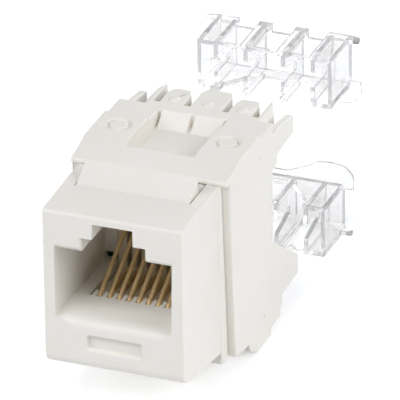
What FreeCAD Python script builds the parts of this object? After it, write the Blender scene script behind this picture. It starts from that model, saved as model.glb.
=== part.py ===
import FreeCAD, Part
import math
import os
import re
import Sketcher

# Keystone jack with eight spring contacts, two rows of insulation-displacement
# terminals and two clear wire caps, lifted off behind the rows they press home.
# Frame: +X right, +Y from the front face to the rear, +Z up, origin at the centre
# of the plug port's mouth. Millimetres.

SIZES = {
    # front housing
    "face_w": 14.5, "face_low": 8.85, "face_high": 7.95, "shell_len": 10.15,
    "top_rise": 0.25, "foot_drop": 1.4, "foot_len": 9.85, "hook_drop": 1.35,
    "hook_thick": 1.45, "front_round": 1.2, "edge_round": 0.35,
    "rim_len": 0.5, "rim_proud": 0.16, "rim_bevel": 0.14,
    "skirt_wall": 0.4, "skirt_len": 3.5, "skirt_top": 5.9,
    # plug port
    "port_w": 12.2, "port_low": 3.4, "port_high": 3.8, "port_len": 12.9,
    "rail_drop": 0.35, "sill_high": 0.5,
    "step_w": 6.6, "step_high": 5.4, "notch_w": 4.2, "notch_high": 7.1,
    "lip_len": 1.1, "lip_drop": 0.45, "lead_in": 0.5,
    "label_w": 5.8, "label_h": 1.65, "label_z": 5.95, "label_deep": 0.55,
    "label_round": 0.35,
    # panel latch
    "latch_w": 11.8, "latch_y": 5.5, "latch_len": 2.4, "latch_rise": 1.5,
    "latch_thick": 1.0, "latch_tail": 2.3, "latch_step": 0.12, "latch_gap": 0.08,
    "root_gap": 0.06,
    # contact carrier and springs
    "pitch": 1.016, "comb_y": 5.0, "comb_tooth": 0.5,
    "tooth_len": 1.1, "tooth_slope": 0.9, "carrier_w": 9.4, "carrier_top": 4.75,
    "carrier_thick": 1.1, "rack_y": 12.95, "rack_high": 1.3, "wire_d": 0.46,
    "wire_bend": 0.6, "wire_rise": 30.0, "wire_front": 5.25, "wire_reach": 13.6,
    # circuit board
    "board_y": 15.0, "board_thick": 1.2, "board_w": 13.2, "board_low": 10.6,
    "board_high": 6.9, "board_gap": 0.1, "well_y": 14.2,
    # rear housing
    "body_w": 16.3, "cheek_wall": 0.8, "roof_y": 9.6, "wall_y": 10.2, "wall_lean": 1.25,
    "body_end": 22.0, "roof_over": 0.4, "lip_round": 0.3,
    "roof_low": 8.25, "roof_front": 8.65, "roof_mid": 9.05, "roof_high": 9.5,
    "roof_slope_y": 11.8, "roof_crest_y": 13.3, "roof_step_y": 18.7,
    "belly_y": 15.0, "belly_front": 11.85, "belly_low": 13.85,
    "belly_tail": 13.05, "cavity_len": 6.8, "fit": 0.05,
    "pocket_w": 7.2, "pocket_y": 12.7, "pocket_end": 20.0, "pocket_floor": 7.6,
    "ramp_w": 3.05, "ramp_gap": 0.5, "ramp_len": 1.6, "disc_d": 2.6, "plug_d": 1.8,
    "disc_x": 5.7, "disc_y": 16.3, "disc_deep": 0.3,
    # terminal arms, mirrored about the level mid_z
    "mid_z": -1.5, "arm_out": 9.6, "arm_in": 6.8, "arm_w": 13.0, "arm_root": 24.8,
    "arm_end": 28.0, "mid_end": 28.9, "slot_w": 0.7, "slot_in": 2.0, "slot_out": 5.2,
    "tip_bevel": 0.4, "tip_cut": 0.9, "spike_end": 28.8, "spike_run": 2.1,
    "arm_bevel": 0.5, "seat_in": 5.6, "seat_out": 8.6, "seat_len": 5.5,
    "cheek_root": 22.8, "cheek_end": 27.8, "cheek_drop": 0.75, "cheek_tall": 2.6,
    "web_high": 3.9, "web_end": 28.7, "web_tall": 2.05, "web_step": 0.45,
    "shoulder_y": 24.9, "shoulder_w": 0.75, "shoulder_drop": 0.75,
    "dot_d": 1.25, "dot_y": 25.7, "dot_high": 0.16,
    # terminals
    "blade_thick": 0.5, "blade_w": 2.0, "blade_y": 21.4, "blade_end": 26.6,
    "fork_gap": 0.36, "fork_len": 1.5, "tail_w": 0.7, "blade_level": 7.9,
    "blade_fit": 0.04,
    # wire caps
    "cap_w": 14.4, "cap_len": 6.0, "cap_high": 5.6, "cap_wall": 0.6, "bar_thick": 0.5,
    "bar_w": 1.4, "side_bar_w": 2.4, "bar_x": 1.95, "window_drop": 0.9, "rib_w": 0.45,
    "rib_notch": 3.3, "notch_h": 0.8, "notch_flare": 0.8, "tab_d": 1.0,
    "lobe_high": 2.1, "lobe_dip": 0.4, "lobe_in": 1.1, "lobe_x": 5.0, "lobe_round": 1.1,
    "lobe_w": 1.05, "lobe_thick": 0.45, "side_wall": 0.4,
    "ear_w": 1.0, "ear_len": 1.1, "vee_side": 0.35, "vee_len": 4.2, "vee_edge": 1.1,
    "gate_w": 3.3, "gate_len": 4.4, "upper_y": 40.8, "upper_lift": 2.32,
    "lower_y": 38.5, "lower_lift": 1.73, "bar_clear": 0.75,
}

DOC = FreeCAD.newDocument("KeystoneJack")
SHEET = DOC.addObject("Spreadsheet::Sheet", "Sizes")
for row, (alias, size) in enumerate(SIZES.items(), start=1):
    SHEET.set("A%d" % row, str(size))
    SHEET.setAlias("A%d" % row, alias)
DOC.recompute()

WORD = re.compile(r"\b(%s)\b" % "|".join(sorted(SIZES, key=len, reverse=True)))


def bound(text):
    """The expression with each size's name written as a cell of the sheet."""
    return WORD.sub(r"Sizes.\1", str(text))


def number(text):
    """The present value of an expression of sizes."""
    return float(SHEET.evalExpression(bound(text)))


def origin_plane(body, role):
    """One of a body's own origin planes, such as XZ_Plane."""
    return [item for item in body.Origin.OriginFeatures if item.Role == role][0]


def new_body(label):
    """An empty body whose label names its file."""
    body = DOC.addObject("PartDesign::Body", label)
    body.Label = label
    return body


def new_sketch(body, plane, offset="0"):
    """A sketch on a body's origin plane, moved along the plane's normal."""
    sketch = body.newObject("Sketcher::SketchObject", "Sketch")
    sketch.AttachmentSupport = [(origin_plane(body, plane), "")]
    sketch.MapMode = "FlatFace"
    sketch.setExpression("AttachmentOffset.Base.z", bound(offset))
    return sketch


def pin_point(sketch, item, end, across, up):
    """Hold a point of the sketch at two expressions of sizes."""
    for axis, text in (("X", across), ("Y", up)):
        rule = Sketcher.Constraint("Distance" + axis, -1, 1, item, end, number(text))
        index = sketch.addConstraint(rule)
        sketch.setExpression("Constraints[%d]" % index, bound(text))


def outline(body, plane, corners, offset="0"):
    """A closed outline of straight runs through corners given as expressions."""
    sketch = new_sketch(body, plane, offset)
    points = [FreeCAD.Vector(number(x), number(y), 0) for x, y in corners]
    count = len(points)
    for index in range(count):
        sketch.addGeometry(Part.LineSegment(points[index], points[(index + 1) % count]))
    for index in range(count):
        following = (index + 1) % count
        sketch.addConstraint(Sketcher.Constraint("Coincident", index, 2, following, 1))
    for index, (across, up) in enumerate(corners):
        pin_point(sketch, index, 1, across, up)
    return sketch


def box_corners(left, right, low, high):
    """The four corners of a rectangle."""
    return [(left, low), (right, low), (right, high), (left, high)]


def disc(body, plane, across, up, diameter, offset="0"):
    """A sketch of one circle."""
    sketch = new_sketch(body, plane, offset)
    centre = FreeCAD.Vector(number(across), number(up), 0)
    circle = Part.Circle(centre, FreeCAD.Vector(0, 0, 1), number(diameter) / 2)
    sketch.addGeometry(circle)
    pin_point(sketch, 0, 3, across, up)
    index = sketch.addConstraint(Sketcher.Constraint("Diameter", 0, number(diameter)))
    sketch.setExpression("Constraints[%d]" % index, bound(diameter))
    return sketch


def extrude(body, kind, sketch, length, midplane=False, reverse=False):
    """Pad or pocket a sketch by a length given as an expression."""
    feature = body.newObject("PartDesign::" + kind, kind)
    feature.Profile = sketch
    feature.setExpression("Length", bound(length))
    feature.Midplane = midplane
    feature.Reversed = reverse
    DOC.recompute()
    return feature


def dress(body, kind, size, chosen):
    """Fillet or chamfer the edges of the body's tip that the test chosen accepts."""
    base = body.Tip
    names = []
    for index, edge in enumerate(base.Shape.Edges, start=1):
        if chosen(edge):
            names.append("Edge%d" % index)
    feature = body.newObject("PartDesign::" + kind, kind)
    feature.Base = (base, names)
    feature.setExpression("Radius" if kind == "Fillet" else "Size", bound(size))
    DOC.recompute()
    return feature


def edge_at(axis, **place):
    """A test for straight edges along an axis that lie at the given coordinates."""
    def accepts(edge):
        if edge.Curve.TypeId != "Part::GeomLine":
            return False
        if abs(getattr(edge.tangentAt(edge.FirstParameter), axis)) < 0.999:
            return False
        middle = edge.valueAt((edge.FirstParameter + edge.LastParameter) / 2)
        for name, wanted in place.items():
            if min(abs(getattr(middle, name) - each) for each in wanted) > 0.02:
                return False
        return True
    return accepts


def lobe_corner(edge, side):
    """Whether an edge is a corner of a cap's lobes, which stand out past its floor."""
    return (edge.Curve.TypeId == "Part::GeomLine"
            and abs(edge.tangentAt(edge.FirstParameter).y) > 0.999
            and side * edge.Vertexes[0].Z < -0.1)


def across_x(body, kind, corners, width, middle="0"):
    """Pad or pocket a side profile, drawn as (Y, Z), evenly about a plane of X."""
    sketch = outline(body, "YZ_Plane", corners, middle)
    return extrude(body, kind, sketch, width, midplane=True)


def along_y(body, kind, corners, start, length):
    """Pad or pocket a front profile, drawn as (X, Z), rearwards from a plane of Y."""
    sketch = outline(body, "XZ_Plane", corners, "-(%s)" % start)
    return extrude(body, kind, sketch, length, reverse=(kind == "Pad"))


def up_z(body, kind, corners, low, height):
    """Pad or pocket a top profile, drawn as (X, Y), upwards from a level of Z."""
    sketch = outline(body, "XY_Plane", corners, low)
    return extrude(body, kind, sketch, height, reverse=(kind == "Pocket"))


def front_housing():
    """Port block with the latch pit on top, the fixed hook below and a rear skirt."""
    body = new_body("front_housing")
    across_x(body, "Pad", [
        ("0", "-face_low"), ("foot_len", "-face_low - foot_drop"),
        ("foot_len", "-face_low - foot_drop - hook_drop"),
        ("foot_len + hook_thick", "-face_low - foot_drop - hook_drop"),
        ("shell_len", "face_high + top_rise"), ("latch_y", "face_high + top_rise"),
        ("0", "face_high")], "face_w")
    dress(body, "Fillet", "front_round", edge_at("x", y=[0], z=[number("-face_low")]))
    dress(body, "Fillet", "edge_round", edge_at("x", y=[0], z=[number("face_high")]))
    for hand in (1, -1):
        rear_rim(body, hand)
    along_y(body, "Pad", box_corners(
        "-face_w / 2 + skirt_wall", "face_w / 2 - skirt_wall",
        "-face_low - foot_drop", "skirt_top"), "shell_len", "skirt_len")
    port_cut(body)
    latch_pit(body)
    return body


def rear_rim(body, hand):
    """Proud strip up a side's rear edge, bevelled in front, as thick as the hook."""
    across_x(body, "Pad", [
        ("shell_len - rim_len", "face_high + top_rise"),
        ("foot_len", "-face_low - foot_drop - hook_drop"),
        ("foot_len + hook_thick", "-face_low - foot_drop - hook_drop"),
        ("shell_len", "face_high + top_rise")],
        "2 * rim_proud", "%d * face_w / 2" % hand)
    side = hand * number("face_w / 2 + rim_proud")
    front = number("(shell_len - rim_len + foot_len) / 2")

    def leading(edge):
        middle = edge.valueAt((edge.FirstParameter + edge.LastParameter) / 2)
        return abs(middle.x - side) < 0.01 and abs(middle.y - front) < 0.05

    dress(body, "Chamfer", "rim_bevel", leading)


def port_cut(body):
    """Stepped port, its floor lip, the recess for the carrier and the label recess."""
    along_y(body, "Pocket", [
        ("-port_w / 2", "-port_low"), ("port_w / 2", "-port_low"),
        ("port_w / 2", "port_high"), ("step_w / 2", "port_high"),
        ("step_w / 2", "step_high"), ("notch_w / 2", "step_high"),
        ("notch_w / 2", "notch_high"), ("-notch_w / 2", "notch_high"),
        ("-notch_w / 2", "step_high"), ("-step_w / 2", "step_high"),
        ("-step_w / 2", "port_high"), ("-port_w / 2", "port_high")],
        "0", "port_len")
    across_x(body, "Pocket", box_corners(
        "comb_y - fit", "port_len", "-port_low - rail_drop", "0"), "port_w")
    across_x(body, "Pocket", [
        ("-1", "-port_low + 1"), ("-1", "-port_low - lip_drop"),
        ("0", "-port_low - lip_drop"), ("lip_len", "-port_low"),
        ("lip_len", "-port_low + 1")], "port_w")
    side = number("step_w / 2")
    dress(body, "Chamfer", "lead_in", edge_at("x", y=[0], z=[number("port_high")]))
    dress(body, "Chamfer", "lead_in / 2",
          edge_at("z", y=[0], x=[side, -side]))
    across_x(body, "Pocket", box_corners(
        "comb_y - fit", "shell_len + skirt_len + 1",
        "-carrier_top - carrier_thick - fit", "rack_high + wire_d"), "carrier_w + 2 * fit")
    along_y(body, "Pocket", box_corners(
        "-port_w / 2", "port_w / 2", "-port_low - rail_drop", "-port_low + sill_high"),
        "port_len - 0.1", "shell_len + skirt_len - port_len + 1")
    along_y(body, "Pocket", box_corners(
        "-label_w / 2", "label_w / 2", "-label_z - label_h / 2",
        "-label_z + label_h / 2"), "0", "label_deep")
    half = number("label_w / 2")
    dress(body, "Fillet", "label_round", edge_at(
        "y", x=[half, -half], z=[number("-label_z - label_h / 2"),
                                 number("-label_z + label_h / 2")]))
    for index in range(9):
        across_x(body, "Pad", [
            ("comb_y - 0.5", "-carrier_top + fit"),
            ("comb_y + tooth_len + tooth_slope", "-carrier_top + fit"),
            ("comb_y + tooth_len", "-port_low"), ("comb_y - 0.5", "-port_low")],
            "comb_tooth", comb_places(index - 0.5))


def latch_pit(body):
    """Open pit behind the top land, where the latch hangs and swings."""
    top = "face_high + top_rise + 1"
    width = "latch_w + 2 * latch_gap"
    across_x(body, "Pocket", box_corners(
        "latch_y", "shell_len + skirt_len", "skirt_top", top), width)
    seat = disc(body, "YZ_Plane", "latch_y", "face_high + top_rise - latch_thick / 2",
                "latch_thick + 2 * root_gap")
    extrude(body, "Pocket", seat, width, midplane=True)


def panel_latch():
    """Sprung tongue with its ramp, turning about a round root at the pit's front."""
    body = new_body("panel_latch")
    root = "latch_y"
    top = "face_high + top_rise"
    across_x(body, "Pad", [
        (root, top + " - latch_thick"),
        (root + " + latch_len + latch_tail", top + " - latch_thick"),
        (root + " + latch_len + latch_tail", top + " - latch_step"),
        (root + " + latch_len", top + " - latch_step"),
        (root + " + latch_len", top + " + latch_rise"),
        (root, top)], "latch_w")
    sketch = disc(body, "YZ_Plane", root, top + " - latch_thick / 2", "latch_thick")
    extrude(body, "Pad", sketch, "latch_w", midplane=True)
    return body


def comb_places(index):
    """Middle of contact number index, 0 to 7, halves being the teeth between."""
    return "pitch * (%.1f)" % (index - 3.5)


def contact_carrier():
    """Sled under the springs, with a rack at its rear that parts their ends."""
    body = new_body("contact_carrier")
    low = "-carrier_top - carrier_thick"
    across_x(body, "Pad", [
        ("comb_y", low), ("board_y", low), ("board_y", "rack_high"),
        ("rack_y", "rack_high"), ("rack_y", "-carrier_top"), ("comb_y", "-carrier_top")],
        "carrier_w")
    for index in range(8):
        place = comb_places(index)
        across_x(body, "Pocket", box_corners(
            "rack_y - 1", "board_y + 1", "-carrier_top", "rack_high + 1"),
            "pitch - comb_tooth", place)
    return body


def contact_spring(index):
    """Gold wire: along the sled, round a bend at its front and up to the rear."""
    body = new_body("contact_spring_%d" % (index + 1))
    rise = math.radians(number("wire_rise"))
    bend = number("wire_bend")
    level = number("-carrier_top + wire_d / 2")
    nose = number("wire_front + wire_bend")
    vector = FreeCAD.Vector
    tail = vector(number("board_y"), level, 0)
    turn = vector(nose, level, 0)
    centre = vector(nose, level + bend, 0)
    lift = vector(nose - bend * math.sin(rise), level + bend + bend * math.cos(rise), 0)
    reach = (number("wire_reach") - lift.x) / math.cos(rise)
    tip = lift + vector(math.cos(rise), math.sin(rise), 0) * reach
    path = new_sketch(body, "YZ_Plane")
    path.addGeometry(Part.LineSegment(tail, turn))
    middle = centre + vector(-bend, 0, 0)
    path.addGeometry(Part.Arc(turn, middle, lift))
    path.addGeometry(Part.LineSegment(lift, tip))
    for number_of in range(3):
        path.addConstraint(Sketcher.Constraint("Block", number_of))
    ring = outline(body, "XZ_Plane", wire_corners(), "-board_y")
    pipe = body.newObject("PartDesign::AdditivePipe", "Pipe")
    pipe.Profile = ring
    pipe.Spine = path
    DOC.recompute()
    body.setExpression("Placement.Base.x", bound(comb_places(index)))
    return body


def wire_corners():
    """Eight corners of the wire's section, flat side down on the sled."""
    corners = []
    for step in range(8):
        turn = math.radians(22.5 + 45 * step)
        across = math.cos(turn) / math.cos(math.radians(22.5)) / 2
        up = math.sin(turn) / math.cos(math.radians(22.5)) / 2
        corners.append(("%.6f * wire_d" % across,
                        "-carrier_top + wire_d / 2 + %.6f * wire_d" % up))
    return corners


def circuit_board():
    """Upright board that joins the springs at its front to the terminals behind."""
    body = new_body("circuit_board")
    along_y(body, "Pad", box_corners(
        "-board_w / 2", "board_w / 2", "-board_low", "board_high"),
        "board_y", "board_thick")
    return body


def rear_housing():
    """Shell behind the panel with the marked roof and the cheeks of both arms."""
    body = new_body("rear_housing")
    across_x(body, "Pad", [
        ("wall_y + wall_lean", "-belly_front + 0.45"), ("wall_y + 3.4", "-belly_front"),
        ("belly_y", "-belly_front"), ("belly_y + 0.5", "-belly_tail + 0.15"),
        ("belly_y + 2.1", "-belly_low"), ("body_end - 0.9", "-belly_low"),
        ("body_end - 0.75", "-belly_tail"), ("body_end", "-belly_tail"),
        ("body_end", "roof_low"), ("body_end + roof_over", "roof_low"),
        ("body_end + roof_over", "roof_mid"), ("roof_step_y", "roof_mid"),
        ("roof_step_y", "roof_high"), ("roof_crest_y", "roof_high"),
        ("roof_slope_y", "roof_mid"), ("roof_y", "roof_front"), ("roof_y", "roof_low"),
        ("wall_y", "roof_low")], "body_w")
    dress(body, "Fillet", "lip_round",
          edge_at("x", y=[number("roof_y")], z=[number("roof_front")]))
    cheeks(body)
    along_y(body, "Pocket", box_corners(
        "-face_w / 2 + skirt_wall - fit", "face_w / 2 - skirt_wall + fit",
        "-face_low - foot_drop - fit", "skirt_top + fit"), "roof_y", "cavity_len")
    along_y(body, "Pocket", box_corners(
        "-board_w / 2 - board_gap", "board_w / 2 + board_gap",
        "-board_low - board_gap", "board_high + board_gap"),
        "well_y", "body_end - seat_len - well_y")
    along_y(body, "Pocket", box_corners(
        "-latch_w / 2 - latch_gap", "latch_w / 2 + latch_gap",
        "skirt_top", "roof_low"), "roof_y", "pocket_y - roof_y - 0.5")
    roof_pocket(body)
    for side in (1, -1):
        along_y(body, "Pocket", box_corners(
            "-arm_w / 2 - fit", "arm_w / 2 + fit",
            "mid_z + %d * (seat_in - fit)" % side,
            "mid_z + %d * (seat_out + fit)" % side),
            "body_end - seat_len", "seat_len + 1")
    return body


def cheeks(body):
    """End walls that stand beside the upper row and the deeper pair by the lower."""
    top = "mid_z + arm_out"
    bottom = "mid_z - arm_out"
    upper = [
        ("body_end - 0.5", top), ("cheek_root", top),
        ("cheek_end", top + " - cheek_drop"), ("cheek_end", top + " - cheek_tall"),
        ("arm_root - 0.8", top + " - cheek_tall - 0.35"),
        ("body_end + 1.3", top + " - cheek_tall - 0.45"),
        ("body_end + 1.3", "mid_z + seat_in"), ("body_end - 0.5", "mid_z + seat_in")]
    lower = [
        ("body_end - 0.5", "-web_high"), ("body_end", "-web_high"),
        ("web_end", bottom + " + web_step + web_tall"),
        ("web_end", bottom + " + web_step"), ("arm_root - 0.5", bottom + " + 0.2"),
        ("arm_root - 0.5", bottom + " - 0.8"), ("arm_root - 1.05", bottom + " - 1.1"),
        ("arm_root - 1.05", "-belly_tail"), ("body_end - 0.5", "-belly_tail")]
    for hand in (1, -1):
        middle = "%d * (body_w - cheek_wall) / 2" % hand
        across_x(body, "Pad", upper, "cheek_wall", middle)
        across_x(body, "Pad", lower, "cheek_wall", middle)
        for side in (1, -1):
            shoulder(body, hand, side)


def shoulder(body, hand, side):
    """Block that closes the corner between a cheek and the root of an arm."""
    middle = "%d * (body_w / 2 - cheek_wall - shoulder_w / 2 + 0.1)" % hand
    across_x(body, "Pad", [
        ("body_end - 0.5", "mid_z + %d * (seat_in)" % side),
        ("shoulder_y", "mid_z + %d * (seat_in)" % side),
        ("shoulder_y", "mid_z + %d * (arm_out - shoulder_drop)" % side),
        ("body_end - 0.5", "mid_z + %d * (arm_out - shoulder_drop)" % side)],
        "shoulder_w + 0.2", middle)


def roof_pocket(body):
    """Recess in the roof with two ramps at its rear, and two ringed plugs beside."""
    up_z(body, "Pocket", box_corners(
        "-pocket_w / 2", "pocket_w / 2", "pocket_y", "pocket_end + ramp_len"),
        "pocket_floor", "5")
    for hand in (1, -1):
        middle = "%d * (ramp_gap + ramp_w) / 2" % hand
        across_x(body, "Pad", [
            ("pocket_end", "pocket_floor"), ("pocket_end + ramp_len", "pocket_floor"),
            ("pocket_end + ramp_len", "roof_mid")], "ramp_w", middle)
        place = "%d * disc_x" % hand
        ring = disc(body, "XY_Plane", place, "disc_y", "disc_d", "roof_high")
        extrude(body, "Pocket", ring, "disc_deep")
        plug = disc(body, "XY_Plane", place, "disc_y", "plug_d", "roof_high - disc_deep")
        extrude(body, "Pad", plug, "disc_deep")


def terminal_block(name, side):
    """Arm of pillars and slots that holds one row of four terminals."""
    body = new_body(name)
    level = "mid_z + %d * " % side

    def slab(corners, low, high):
        sketch = outline(body, "XY_Plane", corners, level + "(%s)" % low)
        extrude(body, "Pad", sketch, "%s - (%s)" % (high, low), reverse=(side < 0))

    slab(box_corners("-arm_w / 2", "arm_w / 2", "body_end - seat_len", "body_end + fit"),
         "seat_in", "seat_out")
    slab(box_corners("-arm_w / 2", "arm_w / 2", "body_end + fit", "arm_root"),
         "arm_in", "arm_out")
    for corners in pillar_outlines():
        slab(corners, "arm_in", "arm_out")
    half = number("arm_w / 2")
    dress(body, "Chamfer", "arm_bevel",
          edge_at("y", x=[half, -half], z=[number(level + "arm_out")]))
    for x in ("-(slot_in + slot_out) / 2", "0", "(slot_in + slot_out) / 2"):
        mark = disc(body, "XY_Plane", x, "dot_y", "dot_d", level + "(arm_out - dot_high)")
        extrude(body, "Pad", mark, "2 * dot_high", reverse=(side < 0))
    for x in slot_places():
        sketch = outline(body, "XY_Plane", box_corners(
            x + " - blade_w / 2 - blade_fit", x + " + blade_w / 2 + blade_fit",
            "blade_y - blade_fit", "blade_end + blade_fit"),
            level + "(blade_level - blade_thick / 2 - blade_fit)")
        extrude(body, "Pocket", sketch, "blade_thick + 2 * blade_fit",
                reverse=(side > 0))
        sketch = outline(body, "XY_Plane", box_corners(
            x + " - tail_w / 2 - blade_fit", x + " + tail_w / 2 + blade_fit",
            "body_end - seat_len - 1", "blade_y"),
            level + "(blade_level - blade_thick / 2 - blade_fit)")
        extrude(body, "Pocket", sketch, "blade_thick + 2 * blade_fit",
                reverse=(side > 0))
    return body


def slot_places():
    """Middles of the four wire slots of a row."""
    return ["-slot_out", "-slot_in", "slot_in", "slot_out"]


def pillar_outlines():
    """Top outlines of the middle pillar, the two side pillars and the two spikes."""
    half = "slot_w / 2"
    shapes = [pillar("0", "slot_in - " + half, "mid_end")]
    for hand in (1, -1):
        middle = "%d * (slot_in + slot_out) / 2" % hand
        shapes.append(pillar(middle, "(slot_out - slot_in - slot_w) / 2", "arm_end"))
        inner = "%d * (slot_out + %s)" % (hand, half)
        outer = "%d * arm_w / 2" % hand
        shapes.append([(inner, "arm_root"), (outer, "arm_root"),
                       (outer, "spike_end - spike_run"), (inner, "spike_end")])
    return shapes


def pillar(middle, half, end):
    """A pillar's outline: straight sides, then two bevels to a blunt tip."""
    left, right = "%s - (%s)" % (middle, half), "%s + %s" % (middle, half)
    return [(left, "arm_root"), (right, "arm_root"), (right, end + " - tip_cut"),
            (right + " - tip_bevel", end), (left + " + tip_bevel", end),
            (left, end + " - tip_cut")]


def idc_terminal(name, place, side):
    """Forked blade across a wire slot, with a narrow tail to the circuit board."""
    body = new_body(name)
    low = "mid_z + %d * blade_level - blade_thick / 2" % side
    fork = "fork_gap / 2"
    tail = "tail_w / 2"
    up_z(body, "Pad", [
        ("-" + tail, "board_y + board_thick"), (tail, "board_y + board_thick"),
        (tail, "blade_y"), ("blade_w / 2", "blade_y"), ("blade_w / 2", "blade_end"),
        (fork, "blade_end"), (fork, "blade_end - fork_len"),
        ("-" + fork, "blade_end - fork_len"), ("-" + fork, "blade_end"),
        ("-blade_w / 2", "blade_end"), ("-blade_w / 2", "blade_y"),
        ("-" + tail, "blade_y")], low, "blade_thick")
    body.setExpression("Placement.Base.x", bound(place))
    return body


def wire_cap(name, side):
    """Clear cap: floor, lobed rear flange, walls, roof bars and notched pressing ribs."""
    body = new_body(name)
    flip = "%d * " % side
    plate_cap(body, flip, side)
    return body


def plate_cap(body, flip, side):
    """All of a cap in its own frame, floor at Z 0, front at Y 0."""
    down = side < 0
    half = "cap_w / 2"

    def slab(kind, corners, low, height):
        sketch = outline(body, "XY_Plane", corners, flip + "(%s)" % low)
        cut = kind == "Pocket"
        extrude(body, kind, sketch, height, reverse=(down != cut))

    slab("Pad", box_corners("-" + half, half, "0", "cap_len"), "0", "cap_wall")
    curve = [("lobe_in", "lobe_dip"), ("lobe_x - 1.9", "lobe_high - 0.9"),
             ("lobe_x - 0.6", "lobe_high - 0.12"), ("lobe_x + 0.9", "lobe_high"),
             ("lobe_x + 2.4", "lobe_high - 0.25"), (half + " + lobe_w", "lobe_high - 1.15"),
             (half + " + lobe_w", "-cap_wall")]
    mirrored = [("-(%s)" % x, z) for x, z in reversed(curve)]
    sketch = outline(body, "XZ_Plane",
                     [(x, flip + "-(%s)" % z) for x, z in curve + mirrored],
                     "-cap_len")
    extrude(body, "Pad", sketch, "lobe_thick")
    dress(body, "Fillet", "lobe_round", lambda edge: lobe_corner(edge, side))
    slab("Pocket", box_corners("-gate_w / 2", "gate_w / 2", "-1", "gate_len"),
         "-1", "cap_wall + 2")
    for hand in (1, -1):
        inner, outer = "%d * (slot_in + vee_side)" % hand, "%d * (slot_out - vee_side)" % hand
        slab("Pocket", [(inner, "-0.01"), (outer, "-0.01"), (outer, "vee_edge"),
                        (inner, "vee_len")], "-1", "cap_wall + 2")
    roof = "cap_high - bar_thick"
    for hand in (1, -1):
        wall = [("%d * (%s - side_wall)" % (hand, half), "0"),
                ("%d * %s" % (hand, half), "0"), ("%d * %s" % (hand, half), "cap_len"),
                ("%d * (%s - side_wall)" % (hand, half), "cap_len")]
        slab("Pad", wall, "cap_wall", roof + " - cap_wall")
        bar = [("%d * %s" % (hand, half), "0"),
               ("%d * (%s - side_bar_w)" % (hand, half), "0"),
               ("%d * (%s - side_bar_w)" % (hand, half), "cap_len"),
               ("%d * %s" % (hand, half), "cap_len")]
        slab("Pad", bar, roof, "bar_thick")
        ear = [("%d * (%s - 0.1)" % (hand, half), "cap_len - ear_len"),
               ("%d * (%s + ear_w)" % (hand, half), "cap_len - ear_len * 0.75"),
               ("%d * (%s + ear_w)" % (hand, half), "cap_len - ear_len * 0.25"),
               ("%d * (%s - 0.1)" % (hand, half), "cap_len")]
        slab("Pad", ear, roof, "bar_thick")
    slab("Pad", box_corners("-" + half, half, "cap_len - cap_wall", "cap_len"),
         "cap_wall", "cap_high - window_drop - cap_wall")
    for hand in (1, -1):
        middle = "%d * bar_x" % hand
        slab("Pad", box_corners(middle + " - bar_w / 2", middle + " + bar_w / 2",
                                "0", "cap_len"), roof, "bar_thick")
        slab("Pad", box_corners(middle + " - bar_w / 2", middle + " + bar_w / 2",
                                "cap_len - cap_wall", "cap_len"),
             "cap_wall", roof + " - cap_wall")
    for x in slot_places():
        sketch = outline(body, "YZ_Plane", rib_outline(flip), x)
        extrude(body, "Pad", sketch, "rib_w", midplane=True)
    sketch = outline(body, "XZ_Plane", box_corners(
        "-%s + side_bar_w - 0.1" % half, half + " - side_bar_w + 0.1",
        flip + "(cap_high - bar_thick / 2)", flip + "(cap_high - 0.05)"))
    extrude(body, "Pad", sketch, "cap_wall * 0.7", reverse=True)
    for x in ("-(slot_in + slot_out) / 2", "0", "(slot_in + slot_out) / 2"):
        sketch = outline(body, "XZ_Plane", [
            (x + " + tab_d * (%.4f)" % (0.5 * math.cos(math.radians(step * 30))),
             flip + "(cap_high - bar_thick * 0.3 - tab_d * %.4f)"
             % (0.5 * math.sin(math.radians(step * 30)))) for step in range(7)])
        extrude(body, "Pad", sketch, "cap_wall * 0.7", reverse=True)


def rib_outline(flip):
    """Side outline of a pressing rib with the notch that clears its terminal."""
    tall = "cap_high - bar_thick"
    notch = "cap_high - bar_clear - bar_thick - arm_out + blade_level"
    points = [("cap_len - cap_wall / 2", "cap_wall / 2"), ("0", "cap_wall / 2"),
              ("0", notch + " - notch_h / 2"), ("rib_notch", notch + " - notch_h / 2"),
              ("rib_notch", notch + " + notch_h / 2"),
              ("0", notch + " + notch_h / 2 + notch_flare"),
              ("0", tall), ("cap_len - cap_wall / 2", tall)]
    return [(y, flip + "(" + z + ")") for y, z in points]


def place_cap(body, side):
    """Stand a cap behind its row, as far off and as low as it is shown."""
    seat = "mid_z + %d * (arm_out + bar_clear + bar_thick - cap_high)" % side
    word = "upper" if side > 0 else "lower"
    body.setExpression("Placement.Base.y", bound(word + "_y"))
    body.setExpression("Placement.Base.z", bound(seat + " - " + word + "_lift"))


def build():
    """Every sub-part, in the order of assembly."""
    parts = [front_housing(), panel_latch(), contact_carrier()]
    parts += [contact_spring(index) for index in range(8)]
    parts += [circuit_board(), rear_housing()]
    for row, side in (("upper", 1), ("lower", -1)):
        parts.append(terminal_block(row + "_terminal_block", side))
        for index, place in enumerate(slot_places(), start=1):
            parts.append(idc_terminal("%s_terminal_%d" % (row, index), place, side))
        cap = wire_cap(row + "_wire_cap", side)
        place_cap(cap, side)
        parts.append(cap)
    return parts


def check(parts):
    """Stop if any object failed or any sub-part has no valid solid."""
    for item in DOC.Objects:
        if "Invalid" in item.State or "Error" in item.State:
            raise RuntimeError("%s failed: %s" % (item.Label, item.State))
    for part in parts:
        shape = part.Shape
        if shape.isNull() or not shape.isValid() or not shape.Solids:
            raise RuntimeError("%s has no valid solid" % part.Label)


PARTS = build()
DOC.recompute()
check(PARTS)
os.makedirs("parts", exist_ok=True)
for part in PARTS:
    part.Shape.exportStep("parts/%s.step" % part.Label)
    print("%-26s solids %d volume %9.3f" % (part.Label, len(part.Shape.Solids),
                                            part.Shape.Volume))
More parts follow.
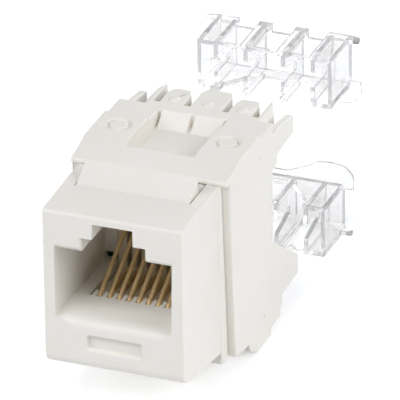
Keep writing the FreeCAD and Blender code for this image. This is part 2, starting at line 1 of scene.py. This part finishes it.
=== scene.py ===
"""Looks of a keystone jack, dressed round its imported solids.

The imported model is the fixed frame. Each sub-assembly is a class that shapes and
finishes its own pieces; ``Studio`` adds the floor, the lights and the camera.
Lengths are millimetres unless a name says otherwise.
"""
import logging
import math
from dataclasses import dataclass
from enum import Enum
from typing import Callable, Iterable

import bmesh
import bpy
from mathutils import Matrix, Vector


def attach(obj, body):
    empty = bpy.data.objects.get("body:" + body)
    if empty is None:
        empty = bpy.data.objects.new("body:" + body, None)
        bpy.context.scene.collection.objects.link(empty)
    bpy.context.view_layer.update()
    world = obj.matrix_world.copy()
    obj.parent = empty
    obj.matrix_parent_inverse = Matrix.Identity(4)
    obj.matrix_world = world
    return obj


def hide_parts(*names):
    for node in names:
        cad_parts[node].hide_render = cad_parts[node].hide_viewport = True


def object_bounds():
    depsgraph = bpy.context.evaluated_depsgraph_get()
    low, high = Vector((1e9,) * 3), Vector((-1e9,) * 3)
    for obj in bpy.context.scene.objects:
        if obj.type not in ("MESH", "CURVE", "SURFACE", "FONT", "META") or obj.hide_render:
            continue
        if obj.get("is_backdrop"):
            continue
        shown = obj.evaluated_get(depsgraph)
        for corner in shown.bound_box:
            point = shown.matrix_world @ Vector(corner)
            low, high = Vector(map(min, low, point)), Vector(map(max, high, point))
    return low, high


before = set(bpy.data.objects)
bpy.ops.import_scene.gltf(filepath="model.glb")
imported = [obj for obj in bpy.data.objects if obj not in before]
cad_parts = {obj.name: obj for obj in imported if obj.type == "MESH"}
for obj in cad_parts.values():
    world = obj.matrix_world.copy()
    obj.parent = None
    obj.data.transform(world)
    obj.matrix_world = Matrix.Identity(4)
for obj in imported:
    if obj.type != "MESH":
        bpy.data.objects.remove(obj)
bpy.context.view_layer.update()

MM = 0.001
TOUCH = 0.01
LOG = logging.getLogger("keystone_jack")


class Slot(Enum):
    """Material slots of the record that a piece can take its finish from."""

    WHITE = "white_plastic"
    CLEAR = "clear_plastic"
    CONTACT = "gold_plated"
    TERMINAL = "bronze_strip"
    BOARD = "circuit_board"


class Row(Enum):
    """The two rows of wire terminals and the side of the middle each is on."""

    UPPER = 1
    LOWER = -1

    @property
    def word(self) -> str:
        """The row's name as the nodes spell it."""
        return self.name.lower()


class Facing(Enum):
    """The way a raised mark stands out, by its turn about Y in degrees."""

    UP = 0
    RIGHT = 90
    LEFT = -90


# ---------------------------------------------------------------- finishes


def shader_nodes(name: str) -> tuple[bpy.types.Material, bpy.types.NodeTree, bpy.types.Node]:
    """Start a node material that has one Principled shader.

    Args:
        name: the material's name.

    Returns:
        The material, its node tree and the shader node.
    """
    material = bpy.data.materials.new(name)
    material.use_nodes = True
    tree = material.node_tree
    shader = next(node for node in tree.nodes if node.type == "BSDF_PRINCIPLED")
    return material, tree, shader


def noise(tree: bpy.types.NodeTree, scale: float, detail: float,
          stretch: tuple[float, float, float] = (1, 1, 1)) -> bpy.types.NodeSocket:
    """Noise on Object coordinates.

    Args:
        tree: the tree that gets the nodes.
        scale: how fine the noise is, per metre.
        detail: octaves of noise.
        stretch: scale along each axis, for streaks.

    Returns:
        The socket with the noise's value.
    """
    place = tree.nodes.new("ShaderNodeTexCoord")
    mapping = tree.nodes.new("ShaderNodeMapping")
    mapping.inputs["Scale"].default_value = stretch
    texture = tree.nodes.new("ShaderNodeTexNoise")
    texture.inputs["Scale"].default_value = scale
    texture.inputs["Detail"].default_value = detail
    tree.links.new(place.outputs["Object"], mapping.inputs["Vector"])
    tree.links.new(mapping.outputs["Vector"], texture.inputs["Vector"])
    return texture.outputs["Fac"]


def ramp(tree: bpy.types.NodeTree, value: bpy.types.NodeSocket,
         stops: Iterable[tuple[float, tuple[float, float, float]]]) -> bpy.types.NodeSocket:
    """Turn a value into colours.

    Args:
        tree: the tree that gets the node.
        value: the value that is looked up.
        stops: two positions, each with its linear colour.

    Returns:
        The socket with the colour.
    """
    node = tree.nodes.new("ShaderNodeValToRGB")
    for element, (position, colour) in zip(node.color_ramp.elements, stops):
        element.position = position
        element.color = (*colour, 1)
    tree.links.new(value, node.inputs["Fac"])
    return node.outputs["Color"]


def bump(tree: bpy.types.NodeTree, shader: bpy.types.Node, height: bpy.types.NodeSocket,
         depth: float) -> None:
    """Roughen a shader's normals.

    Args:
        tree: the tree that gets the node.
        shader: the shader whose normal is set.
        height: the height pattern.
        depth: the pattern's full depth in millimetres.
    """
    node = tree.nodes.new("ShaderNodeBump")
    node.inputs["Distance"].default_value = depth * MM
    tree.links.new(height, node.inputs["Height"])
    tree.links.new(node.outputs["Normal"], shader.inputs["Normal"])


@dataclass(frozen=True)
class MouldedPlastic:
    """Opaque moulded plastic with a fine eroded grain and a faint mottle."""

    name: str
    colour: tuple[float, float, float]
    shade: tuple[float, float, float]
    roughness: float = 0.46
    refraction: float = 1.54
    mottle_per_metre: float = 160.0
    mottle_stops: tuple[float, float] = (0.25, 0.7)
    grain_per_metre: float = 5200.0
    grain: float = 0.012
    seep: float = 0.12
    seep_colour: tuple[float, float, float] = (0.9, 0.7, 0.5)
    seep_depth: float = 0.5

    def material(self) -> bpy.types.Material:
        """Build the material."""
        material, tree, shader = shader_nodes(self.name)
        mottle = noise(tree, self.mottle_per_metre, detail=4)
        colours = ramp(tree, mottle, zip(self.mottle_stops, (self.shade, self.colour)))
        tree.links.new(colours, shader.inputs["Base Color"])
        shader.inputs["Roughness"].default_value = self.roughness
        shader.inputs["IOR"].default_value = self.refraction
        shader.inputs["Subsurface Weight"].default_value = self.seep
        shader.inputs["Subsurface Radius"].default_value = self.seep_colour
        shader.inputs["Subsurface Scale"].default_value = self.seep_depth * MM
        bump(tree, shader, noise(tree, self.grain_per_metre, detail=2), self.grain)
        return material


@dataclass(frozen=True)
class ClearPlastic:
    """Polished clear moulding, grey where the light runs a long way inside."""

    name: str
    surface: tuple[float, float, float] = (0.975, 0.968, 0.962)
    tint: tuple[float, float, float] = (0.50, 0.50, 0.50)
    absorption_per_metre: float = 170.0
    refraction: float = 1.5
    roughness: float = 0.03
    ripple_per_metre: float = 420.0
    ripple: float = 0.02
    turning: float = 0.35
    face_on: float = 0.75
    grazing: float = 1.0

    def material(self) -> bpy.types.Material:
        """Build the material."""
        material, tree, shader = shader_nodes(self.name)
        shader.inputs["Base Color"].default_value = (*self.surface, 1)
        shader.inputs["Transmission Weight"].default_value = 1.0
        shader.inputs["IOR"].default_value = self.refraction
        shader.inputs["Roughness"].default_value = self.roughness
        bump(tree, shader, noise(tree, self.ripple_per_metre, detail=2), self.ripple)
        turned = tree.nodes.new("ShaderNodeLayerWeight")
        turned.inputs["Blend"].default_value = self.turning
        spread = tree.nodes.new("ShaderNodeMapRange")
        spread.inputs["To Min"].default_value = self.face_on
        spread.inputs["To Max"].default_value = self.grazing
        tree.links.new(turned.outputs["Facing"], spread.inputs["Value"])
        tree.links.new(spread.outputs["Result"], shader.inputs["Alpha"])
        inside = tree.nodes.new("ShaderNodeVolumeAbsorption")
        inside.inputs["Color"].default_value = (*self.tint, 1)
        inside.inputs["Density"].default_value = self.absorption_per_metre
        output = next(node for node in tree.nodes if node.type == "OUTPUT_MATERIAL")
        tree.links.new(inside.outputs["Volume"], output.inputs["Volume"])
        return material


@dataclass(frozen=True)
class PlatedMetal:
    """Plated metal with fine drawing streaks and a slightly uneven tone."""

    name: str
    colour: tuple[float, float, float]
    shade: tuple[float, float, float]
    streak: tuple[float, float, float]
    roughness: float
    tone_per_metre: float = 900.0
    tone_stops: tuple[float, float] = (0.3, 0.7)
    streaks_per_metre: float = 6000.0
    streak_depth: float = 0.004

    def material(self) -> bpy.types.Material:
        """Build the material."""
        material, tree, shader = shader_nodes(self.name)
        tone = noise(tree, self.tone_per_metre, 3, stretch=self.streak)
        colours = ramp(tree, tone, zip(self.tone_stops, (self.shade, self.colour)))
        tree.links.new(colours, shader.inputs["Base Color"])
        shader.inputs["Metallic"].default_value = 1.0
        shader.inputs["Roughness"].default_value = self.roughness
        drawn = noise(tree, self.streaks_per_metre, 2, stretch=self.streak)
        bump(tree, shader, drawn, self.streak_depth)
        return material


@dataclass(frozen=True)
class Laminate:
    """Woven glass laminate under a solder mask."""

    name: str
    colour: tuple[float, float, float]
    shade: tuple[float, float, float]
    roughness: float = 0.3
    weave_per_metre: float = 900.0
    weave_stops: tuple[float, float] = (0.2, 0.8)
    weave_depth: float = 0.01
    wander: float = 1.2

    def material(self) -> bpy.types.Material:
        """Build the material."""
        material, tree, shader = shader_nodes(self.name)
        place = tree.nodes.new("ShaderNodeTexCoord")
        weave = tree.nodes.new("ShaderNodeTexWave")
        weave.inputs["Scale"].default_value = self.weave_per_metre
        weave.inputs["Distortion"].default_value = self.wander
        tree.links.new(place.outputs["Object"], weave.inputs["Vector"])
        colours = ramp(tree, weave.outputs["Fac"],
                       zip(self.weave_stops, (self.shade, self.colour)))
        tree.links.new(colours, shader.inputs["Base Color"])
        shader.inputs["Roughness"].default_value = self.roughness
        bump(tree, shader, weave.outputs["Fac"], self.weave_depth)
        return material


FINISHES = {
    Slot.WHITE: MouldedPlastic("white_moulding", (0.865, 0.83, 0.76), (0.845, 0.805, 0.725)),
    Slot.CLEAR: ClearPlastic("clear_moulding"),
    Slot.CONTACT: PlatedMetal("gold_plated_wire", (0.88, 0.69, 0.40), (0.74, 0.56, 0.31),
                              (1, 0.08, 1), 0.58),
    Slot.TERMINAL: PlatedMetal("bronze_blade", (0.72, 0.60, 0.28), (0.56, 0.47, 0.20),
                               (1, 1, 0.1), 0.4),
    Slot.BOARD: Laminate("board_laminate", (0.09, 0.36, 0.16), (0.06, 0.27, 0.12)),
}
MATERIALS = {slot: finish.material() for slot, finish in FINISHES.items()}


# ---------------------------------------------------------------- shared shaping


def publish(name: str, shape: bmesh.types.BMesh, slot: Slot, body: str,
            replaced: Iterable[str] = (), smooth_below: float = 38.0) -> bpy.types.Object:
    """Turn a finished bmesh into a piece of the jack.

    Args:
        name: the piece's name.
        shape: the mesh, in metres in the frame; it is freed.
        slot: the record's slot that the piece takes its finish from.
        body: the body that it rides on.
        replaced: nodes that it stands for.
        smooth_below: edges that turn more than this many degrees stay sharp.

    Returns:
        The piece.
    """
    mesh = bpy.data.meshes.new(name)
    shape.to_mesh(mesh)
    shape.free()
    mesh.shade_smooth()
    mesh.set_sharp_from_angle(angle=math.radians(smooth_below))
    piece = bpy.data.objects.new(name, mesh)
    bpy.context.scene.collection.objects.link(piece)
    mesh.materials.append(MATERIALS[slot])
    weigh = piece.modifiers.new("even_shading", "WEIGHTED_NORMAL")
    weigh.keep_sharp = True
    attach(piece, body)
    replaced = list(replaced)
    if replaced:
        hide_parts(*replaced)
    LOG.info("%s: %d faces on %s", name, len(mesh.polygons), body)
    return piece


def merged_copy(node: str, merge_within: float = 0.0005,
                flat_below: float = 0.5) -> bmesh.types.BMesh:
    """A node's mesh with its triangles joined into whole flat faces.

    Args:
        node: the node's name.
        merge_within: how close two vertices are that become one.
        flat_below: the angle in degrees below which two faces become one.

    Returns:
        The copy.
    """
    shape = bmesh.new()
    shape.from_mesh(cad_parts[node].data)
    bmesh.ops.remove_doubles(shape, verts=shape.verts, dist=merge_within * MM)
    bmesh.ops.dissolve_limit(shape, angle_limit=math.radians(flat_below),
                             verts=shape.verts, edges=shape.edges)
    return shape


def has_room(edge: bmesh.types.BMEdge, width: float, least: float = 2.1,
             turn_below: float = 130.0) -> bool:
    """Whether an edge can be rounded without running over a narrow step beside it.

    Args:
        edge: the edge.
        width: how far it would be rounded off.
        least: how many roundings long the edges beside it have to be.
        turn_below: the angle in degrees under which another edge lies beside it.

    Returns:
        False where an edge that is too short turns off one of its ends.
    """
    for vert in edge.verts:
        along = edge.other_vert(vert).co - vert.co
        for other in vert.link_edges:
            way = other.other_vert(vert).co - vert.co
            if (other is not edge and way.length < least * width * MM
                    and set(other.link_faces) & set(edge.link_faces)
                    and along.angle(way, math.pi) < math.radians(turn_below)):
                return False
    return True


def soften(shape: bmesh.types.BMesh, width: float, segments: int = 2,
           chosen: Callable[[bmesh.types.BMEdge], bool] | None = None,
           sharper_than: float = 25.0) -> None:
    """Round a mesh's sharp edges.

    Args:
        shape: the mesh.
        width: how far each edge is rounded off.
        segments: steps across the rounding.
        chosen: a test that an edge has to pass as well.
        sharper_than: the least angle in degrees between an edge's faces.
    """
    edges = [edge for edge in shape.edges
             if len(edge.link_faces) == 2
             and edge.calc_face_angle(0) > math.radians(sharper_than)
             and has_room(edge, width)
             and (chosen is None or chosen(edge))]
    bmesh.ops.bevel(shape, geom=edges, offset=width * MM, offset_type="OFFSET",
                    segments=segments, profile=0.5, affect="EDGES", clamp_overlap=False,
                    material=-1)


@dataclass(frozen=True)
class Mark:
    """A small rounded raised mark that a mould leaves; place is its foot's middle."""

    place: tuple[float, float, float]
    across: float
    long: float
    high: float
    facing: Facing = Facing.UP

    def add_to(self, shape: bmesh.types.BMesh) -> None:
        """Add the mark to a mesh, with its length along Y."""
        turn = Matrix.Rotation(math.radians(self.facing.value), 4, "Y")
        size = Matrix.Diagonal((self.across / 2, self.long / 2, self.high, 1))
        pose = Matrix.Translation(Vector(self.place) * MM) @ turn @ size @ Matrix.Scale(MM, 4)
        bmesh.ops.create_uvsphere(shape, u_segments=16, v_segments=8, radius=1,
                                  matrix=pose)


def dress_node(node: str, slot: Slot) -> None:
    """Give a node that keeps its own mesh its finish."""
    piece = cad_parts[node]
    piece.data.materials.clear()
    piece.data.materials.append(MATERIALS[slot])
    LOG.info("%s keeps its mesh", node)


# ---------------------------------------------------------------- sub-assemblies


@dataclass
class PortBlock:
    """Front housing and its panel latch."""

    edge: float = 0.12
    latch_edge: float = 0.1
    lip: float = 0.5
    lip_steps: int = 5
    lip_long: float = 8.0
    lip_z: tuple[float, float] = (-4.6, -3.2)
    marks: tuple[Mark, ...] = (Mark((0.1, 3.1, 8.09), 0.16, 0.55, 0.05),
                               Mark((-0.15, 4.5, 8.15), 0.12, 0.3, 0.04))

    def build(self) -> None:
        """Make the pieces."""
        shape = merged_copy("front_housing")
        soften(shape, self.edge, chosen=lambda edge: not self.under_the_mouth(edge))
        soften(shape, self.lip, self.lip_steps, self.under_the_mouth)
        for mark in self.marks:
            mark.add_to(shape)
        publish("port_block", shape, Slot.WHITE, "jack", ["front_housing"])
        shape = merged_copy("panel_latch")
        soften(shape, self.latch_edge)
        publish("snap_latch", shape, Slot.WHITE, "latch", ["panel_latch"])

    def under_the_mouth(self, edge: bmesh.types.BMEdge) -> bool:
        """Whether an edge is the long one where the port's floor meets the face."""
        low, high = self.lip_z
        return (edge.calc_length() > self.lip_long * MM
                and all(vert.co.y < TOUCH * MM and low * MM < vert.co.z < high * MM
                        for vert in edge.verts))


@dataclass
class ContactNest:
    """Carrier, contact springs and the board behind them."""

    pitch: float = 1.016
    count: int = 8
    wire: float = 0.46
    floor: float = -4.75
    tail_y: float = 15.0
    front_y: float = 5.25
    bend: float = 0.6
    bend_steps: int = 12
    rise: float = 30.0
    reach_y: float = 13.6
    tip_round: float = 0.08
    sides: int = 14
    smooth_below: float = 60.0
    edge: float = 0.06
    # The sled's finish is warmer than the white moulding: painted warm shade that stands in
    # for the shade deep in the port behind the springs.
    finish: MouldedPlastic = MouldedPlastic("sled_painted_warm_shade", (0.93, 0.86, 0.70),
                                            (0.90, 0.82, 0.65))

    def build(self) -> None:
        """Make the pieces."""
        shape = merged_copy("contact_carrier")
        soften(shape, self.edge, segments=1)
        sled = publish("comb_sled", shape, Slot.WHITE, "jack", ["contact_carrier"])
        # Painted warm shade: the sled takes the warmer finish instead of the plain white
        # moulding.
        sled.data.materials[0] = self.finish.material()
        for index in range(self.count):
            publish("spring_wire_%d" % (index + 1), self.spring(index), Slot.CONTACT,
                    "jack", ["contact_spring_%d" % (index + 1)], self.smooth_below)
        dress_node("circuit_board", Slot.BOARD)

    def spring(self, index: int) -> bmesh.types.BMesh:
        """One spring: along the sled, round its front and up to the rear.

        Args:
            index: which contact, from 0 at the left.

        Returns:
            The wire's mesh.
        """
        shape = bmesh.new()
        middle = self.pitch * (index - (self.count - 1) / 2)
        level = self.floor + self.wire / 2
        start = Matrix.Translation(Vector((middle, self.tail_y, level)) * MM)
        turn = Matrix.Rotation(math.radians(90), 4, "X")
        bmesh.ops.create_circle(shape, cap_ends=True, segments=self.sides,
                                radius=self.wire / 2 * MM, matrix=start @ turn)
        nose = self.front_y + self.bend
        end = self.push(shape, list(shape.faces), (0, nose - self.tail_y, 0))
        spun = bmesh.ops.spin(
            shape, geom=end + [edge for face in end for edge in face.edges]
            + [vert for face in end for vert in face.verts],
            cent=Vector((middle, nose, level + self.bend)) * MM, axis=(-1, 0, 0),
            angle=math.radians(180 - self.rise), steps=self.bend_steps,
            use_duplicate=False)
        end = [item for item in spun["geom_last"] if isinstance(item, bmesh.types.BMFace)]
        slope = math.radians(self.rise)
        lift_y = nose - self.bend * math.sin(slope)
        run = self.reach_y - lift_y
        tip = self.push(shape, end, (0, run, run * math.tan(slope)))
        rim = [edge for face in tip for edge in face.edges]
        bmesh.ops.bevel(shape, geom=rim, offset=self.tip_round * MM, offset_type="OFFSET",
                        segments=2, profile=0.5, affect="EDGES", material=-1)
        bmesh.ops.recalc_face_normals(shape, faces=shape.faces)
        return shape

    @staticmethod
    def push(shape: bmesh.types.BMesh, faces: list[bmesh.types.BMFace],
             way: tuple[float, float, float]) -> list[bmesh.types.BMFace]:
        """Extrude faces and move the new ones.

        Args:
            shape: the mesh.
            faces: the faces to extrude.
            way: how far the new faces go.

        Returns:
            The new end faces.
        """
        keep = len(faces) == len(shape.faces)
        grown = bmesh.ops.extrude_face_region(shape, geom=faces, use_keep_orig=keep)["geom"]
        verts = [item for item in grown if isinstance(item, bmesh.types.BMVert)]
        bmesh.ops.translate(shape, verts=verts, vec=Vector(way) * MM)
        return [item for item in grown if isinstance(item, bmesh.types.BMFace)]


@dataclass
class RearShell:
    """Rear housing behind the panel, with the nibs its mould leaves on both walls."""

    edge: float = 0.12
    wall_x: float = 8.15
    rear_y: float = 22.0
    window_x: float = 7.4
    nibs: tuple[tuple[float, float], ...] = ((18.3, 7.2), (19.3, -10.7))
    nib_size: tuple[float, float, float] = (0.42, 0.36, 0.1)

    def build(self) -> None:
        """Make the pieces."""
        shape = merged_copy("rear_housing")
        soften(shape, self.edge, chosen=self.off_the_windows)
        for side, facing in ((self.wall_x, Facing.RIGHT), (-self.wall_x, Facing.LEFT)):
            for y, z in self.nibs:
                Mark((side, y, z), *self.nib_size, facing).add_to(shape)
        publish("rear_shell", shape, Slot.WHITE, "jack", ["rear_housing"])

    def off_the_windows(self, edge: bmesh.types.BMEdge) -> bool:
        """Whether an edge is clear of the narrow windows in the rear wall."""
        return not all(abs(vert.co.y - self.rear_y * MM) < TOUCH * MM
                       and abs(vert.co.x) < self.window_x * MM for vert in edge.verts)


@dataclass
class TerminalRow:
    """One arm with its pillars and its four forked blades."""

    row: Row
    edge: float = 0.08
    middle: float = -1.5
    arm_out: float = 9.6
    dot_high: float = 0.16
    blades: int = 4
    dome: tuple[tuple[float, float], ...] = ((0.12, 0.06), (0.16, 0.04), (0.16, 0.03))

    def build(self) -> None:
        """Make the pieces."""
        word = self.row.word
        shape = merged_copy(word + "_terminal_block")
        self.round_dots(shape)
        soften(shape, self.edge, chosen=self.off_the_dots)
        publish(word + "_pillar_arm", shape, Slot.WHITE, "jack", [word + "_terminal_block"])
        for index in range(self.blades):
            dress_node("%s_terminal_%d" % (word, index + 1), Slot.TERMINAL)

    def above(self, vert: bmesh.types.BMVert) -> float:
        """How far a vertex stands out from the arm's flat, in millimetres."""
        return (vert.co.z / MM - self.middle) * self.row.value - self.arm_out

    def off_the_dots(self, edge: bmesh.types.BMEdge) -> bool:
        """Whether an edge is clear of the domes."""
        return all(self.above(vert) < TOUCH for vert in edge.verts)

    def round_dots(self, shape: bmesh.types.BMesh) -> None:
        """Turn each flat dot on the pillars into a shallow dome.

        Args:
            shape: the arm's mesh.
        """
        tops = [face for face in shape.faces
                if all(self.above(vert) > self.dot_high - TOUCH for vert in face.verts)]
        for face in tops:
            drop = sum(step for _, step in self.dome)
            bmesh.ops.translate(shape, verts=face.verts,
                                vec=(0, 0, -drop * self.row.value * MM))
            for inward, step in self.dome:
                bmesh.ops.inset_individual(shape, faces=[face], thickness=inward * MM,
                                           depth=step * MM)


@dataclass
class WireCap:
    """One clear cap that presses four wires home."""

    row: Row
    body: str
    edge: float = 0.06

    def build(self) -> None:
        """Make the cap."""
        word = self.row.word
        shape = merged_copy(word + "_wire_cap")
        soften(shape, self.edge, segments=1)
        publish(word + "_clear_cap", shape, Slot.CLEAR, self.body, [word + "_wire_cap"])


# ---------------------------------------------------------------- studio


@dataclass(frozen=True)
class Softbox:
    """A square soft light: where it hangs and its side in metres, and its watts."""

    name: str
    place: tuple[float, float, float]
    size: float
    watts: float

    def hang(self, colour: tuple[float, float, float],
             target: tuple[float, float, float]) -> None:
        """Put the light in the scene.

        Args:
            colour: the light's colour.
            target: the point in metres that it is aimed at.
        """
        lamp = bpy.data.lights.new(self.name, "AREA")
        lamp.shape = "SQUARE"
        lamp.size = self.size
        lamp.energy = self.watts
        lamp.color = colour
        holder = bpy.data.objects.new(self.name, lamp)
        bpy.context.scene.collection.objects.link(holder)
        holder.location = self.place
        aim = Vector(target) - Vector(self.place)
        holder.rotation_euler = aim.to_track_quat("-Z", "Y").to_euler()


@dataclass
class Studio:
    """Floor, soft light and the camera."""

    azimuth: float = 21.817
    elevation: float = 27.716
    roll: float = 0.944
    distance: float = 800.0
    centre: tuple[float, float, float] = (0.0, 10.0, -2.85)
    shift_right: float = 4.709
    shift_down: float = -7.174
    focal_widths: float = 20.4925
    sensor: float = 36.0
    clip: tuple[float, float] = (0.01, 20.0)
    cool: tuple[float, float, float] = (0.975, 1.0, 1.055)
    lit_point: tuple[float, float, float] = (0.0, 0.02, 0.0)
    softboxes: tuple[Softbox, ...] = (
        Softbox("key", (0.66, -0.12, 0.36), 0.6, 3.45),
        Softbox("front", (-0.05, -0.48, 0.80), 0.5, 3.0),
        Softbox("left", (-0.55, -0.50, 0.50), 0.5, 2.6),
        Softbox("back", (0.10, 0.90, 0.26), 0.6, 2.4))
    even_light: float = 0.14
    fade_from: tuple[float, float] = (-0.3, 0.5)
    fade_least: float = 0.05
    floor_half: float = 4.0
    floor_gap: float = 0.05
    floor_colour: tuple[float, float, float] = (0.9, 0.9, 0.9)
    floor_rough: float = 0.9
    floor_glow: float = 0.45

    def build(self) -> None:
        """Make everything round the jack."""
        self.floor()
        self.world()
        for softbox in self.softboxes:
            softbox.hang(self.cool, self.lit_point)
        self.camera()
        bpy.context.scene.view_settings.view_transform = "Standard"

    def floor(self) -> None:
        """A plain pale floor that keeps the jack's shadow."""
        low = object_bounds()[0]
        shape = bmesh.new()
        level = Matrix.Translation((0, 0, low.z - self.floor_gap * MM))
        bmesh.ops.create_grid(shape, x_segments=1, y_segments=1, size=self.floor_half,
                              matrix=level)
        mesh = bpy.data.meshes.new("floor")
        shape.to_mesh(mesh)
        shape.free()
        floor = bpy.data.objects.new("floor", mesh)
        bpy.context.scene.collection.objects.link(floor)
        material, tree, shader = shader_nodes("floor")
        shader.inputs["Base Color"].default_value = (*self.floor_colour, 1)
        shader.inputs["Roughness"].default_value = self.floor_rough
        shader.inputs["Specular IOR Level"].default_value = 0.0
        glow = tree.nodes.new("ShaderNodeEmission")
        glow.inputs["Strength"].default_value = self.floor_glow
        nothing = tree.nodes.new("ShaderNodeEmission")
        nothing.inputs["Strength"].default_value = 0.0
        extra = tree.nodes.new("ShaderNodeMixShader")
        both = tree.nodes.new("ShaderNodeAddShader")
        tree.links.new(self.seen(tree), extra.inputs[0])
        tree.links.new(nothing.outputs[0], extra.inputs[1])
        tree.links.new(glow.outputs[0], extra.inputs[2])
        tree.links.new(shader.outputs[0], both.inputs[0])
        tree.links.new(extra.outputs[0], both.inputs[1])
        output = next(node for node in tree.nodes if node.type == "OUTPUT_MATERIAL")
        tree.links.new(both.outputs[0], output.inputs["Surface"])
        mesh.materials.append(material)
        floor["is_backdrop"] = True

    @staticmethod
    def seen(tree: bpy.types.NodeTree) -> bpy.types.NodeSocket:
        """One for rays that show the background, straight or through gloss and glass.

        Args:
            tree: the tree that gets the nodes.

        Returns:
            The socket with the value.
        """
        path = tree.nodes.new("ShaderNodeLightPath")
        first = tree.nodes.new("ShaderNodeMath")
        first.operation = "MAXIMUM"
        second = tree.nodes.new("ShaderNodeMath")
        second.operation = "MAXIMUM"
        tree.links.new(path.outputs["Is Camera Ray"], first.inputs[0])
        tree.links.new(path.outputs["Is Glossy Ray"], first.inputs[1])
        tree.links.new(first.outputs[0], second.inputs[0])
        tree.links.new(path.outputs["Is Transmission Ray"], second.inputs[1])
        return second.outputs[0]

    def world(self) -> None:
        """Faint light from all round, white past the jack and dimmer behind the camera."""
        world = bpy.data.worlds.new("studio")
        world.use_nodes = True
        tree = world.node_tree
        even = next(node for node in tree.nodes if node.type == "BACKGROUND")
        even.inputs["Color"].default_value = (*self.cool, 1)
        even.inputs["Strength"].default_value = self.even_light
        white = tree.nodes.new("ShaderNodeBackground")
        white.inputs["Color"].default_value = (1, 1, 1, 1)
        place = tree.nodes.new("ShaderNodeTexCoord")
        axes = tree.nodes.new("ShaderNodeSeparateXYZ")
        fade = tree.nodes.new("ShaderNodeMapRange")
        fade.inputs["From Min"].default_value = self.fade_from[0]
        fade.inputs["From Max"].default_value = self.fade_from[1]
        fade.inputs["To Min"].default_value = self.fade_least
        path = tree.nodes.new("ShaderNodeLightPath")
        shown = tree.nodes.new("ShaderNodeMath")
        shown.operation = "MAXIMUM"
        tree.links.new(place.outputs["Generated"], axes.inputs["Vector"])
        tree.links.new(axes.outputs["Y"], fade.inputs["Value"])
        tree.links.new(fade.outputs["Result"], shown.inputs[0])
        tree.links.new(path.outputs["Is Camera Ray"], shown.inputs[1])
        tree.links.new(shown.outputs[0], white.inputs["Strength"])
        choose = tree.nodes.new("ShaderNodeMixShader")
        tree.links.new(self.seen(tree), choose.inputs[0])
        tree.links.new(even.outputs[0], choose.inputs[1])
        tree.links.new(white.outputs[0], choose.inputs[2])
        output = next(node for node in tree.nodes if node.type == "OUTPUT_WORLD")
        tree.links.new(choose.outputs[0], output.inputs["Surface"])
        bpy.context.scene.world = world

    def camera(self) -> None:
        """The camera, aimed by its angles."""
        turn, tilt, roll = (math.radians(angle) for angle in
                            (self.azimuth, self.elevation, self.roll))
        ahead = Vector((-math.sin(turn) * math.cos(tilt), math.cos(turn) * math.cos(tilt),
                        -math.sin(tilt)))
        level = Vector((math.cos(turn), math.sin(turn), 0))
        under = ahead.cross(level)
        right = math.cos(roll) * level + math.sin(roll) * under
        down = -math.sin(roll) * level + math.cos(roll) * under
        aim = Vector(self.centre) + self.shift_right * right + self.shift_down * down
        place = (aim - self.distance * ahead) * MM
        pose = Matrix((right, -down, -ahead)).transposed().to_4x4()
        pose.translation = place
        lens = bpy.data.cameras.new("camera")
        lens.sensor_width = self.sensor
        lens.lens = self.focal_widths * self.sensor
        lens.clip_start, lens.clip_end = self.clip
        camera = bpy.data.objects.new("camera", lens)
        camera.matrix_world = pose
        bpy.context.scene.collection.objects.link(camera)
        bpy.context.scene.camera = camera


def main() -> None:
    """Build the jack and its studio."""
    logging.basicConfig(level=logging.INFO, format="%(name)s %(message)s")
    PortBlock().build()
    ContactNest().build()
    RearShell().build()
    for row, body in ((Row.UPPER, "cap_top"), (Row.LOWER, "cap_bottom")):
        TerminalRow(row).build()
        WireCap(row, body).build()
    Studio().build()


if __name__ == "__main__":
    main()
